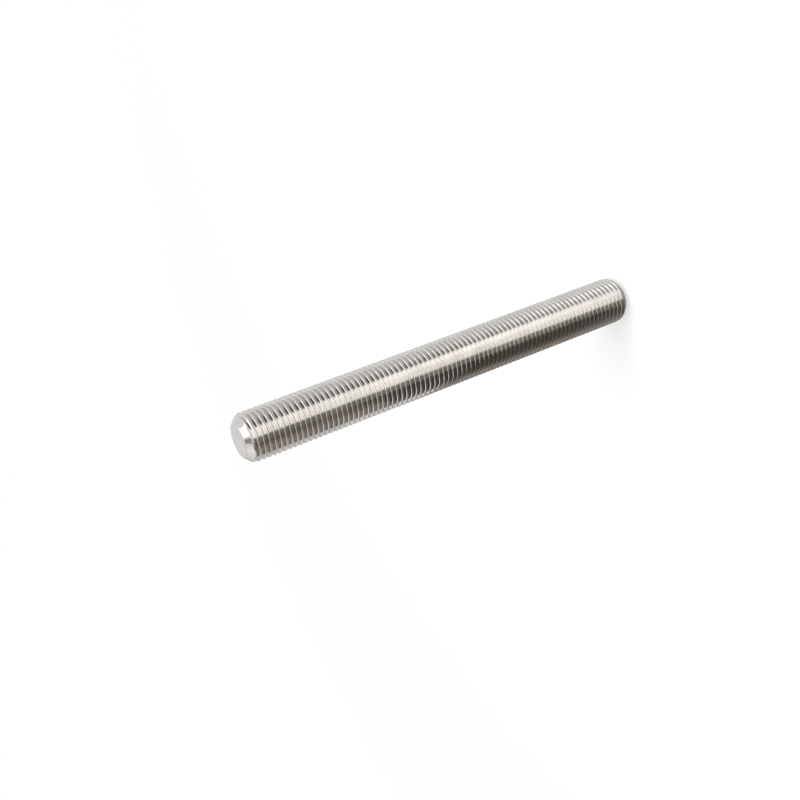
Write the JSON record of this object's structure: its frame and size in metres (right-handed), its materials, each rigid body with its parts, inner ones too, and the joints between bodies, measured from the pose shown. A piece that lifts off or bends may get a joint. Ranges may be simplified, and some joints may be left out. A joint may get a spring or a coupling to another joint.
{
  "type": "threaded rod",
  "caption": "Fully threaded stainless steel rod with a coarse right-hand metric thread and a chamfer at each end.",
  "frame": {"origin": "centre of the lower end face, on the thread's axis", "axes": "+Z along the thread's axis, up towards the other end"},
  "size_m": [0.027, 0.027, 0.25],
  "materials": {
    "steel": "bright rolled stainless steel, with sawn and chamfered ends"
  },
  "bodies": {
    "root": {"threaded_rod": "steel"}
  },
  "joints": []
}
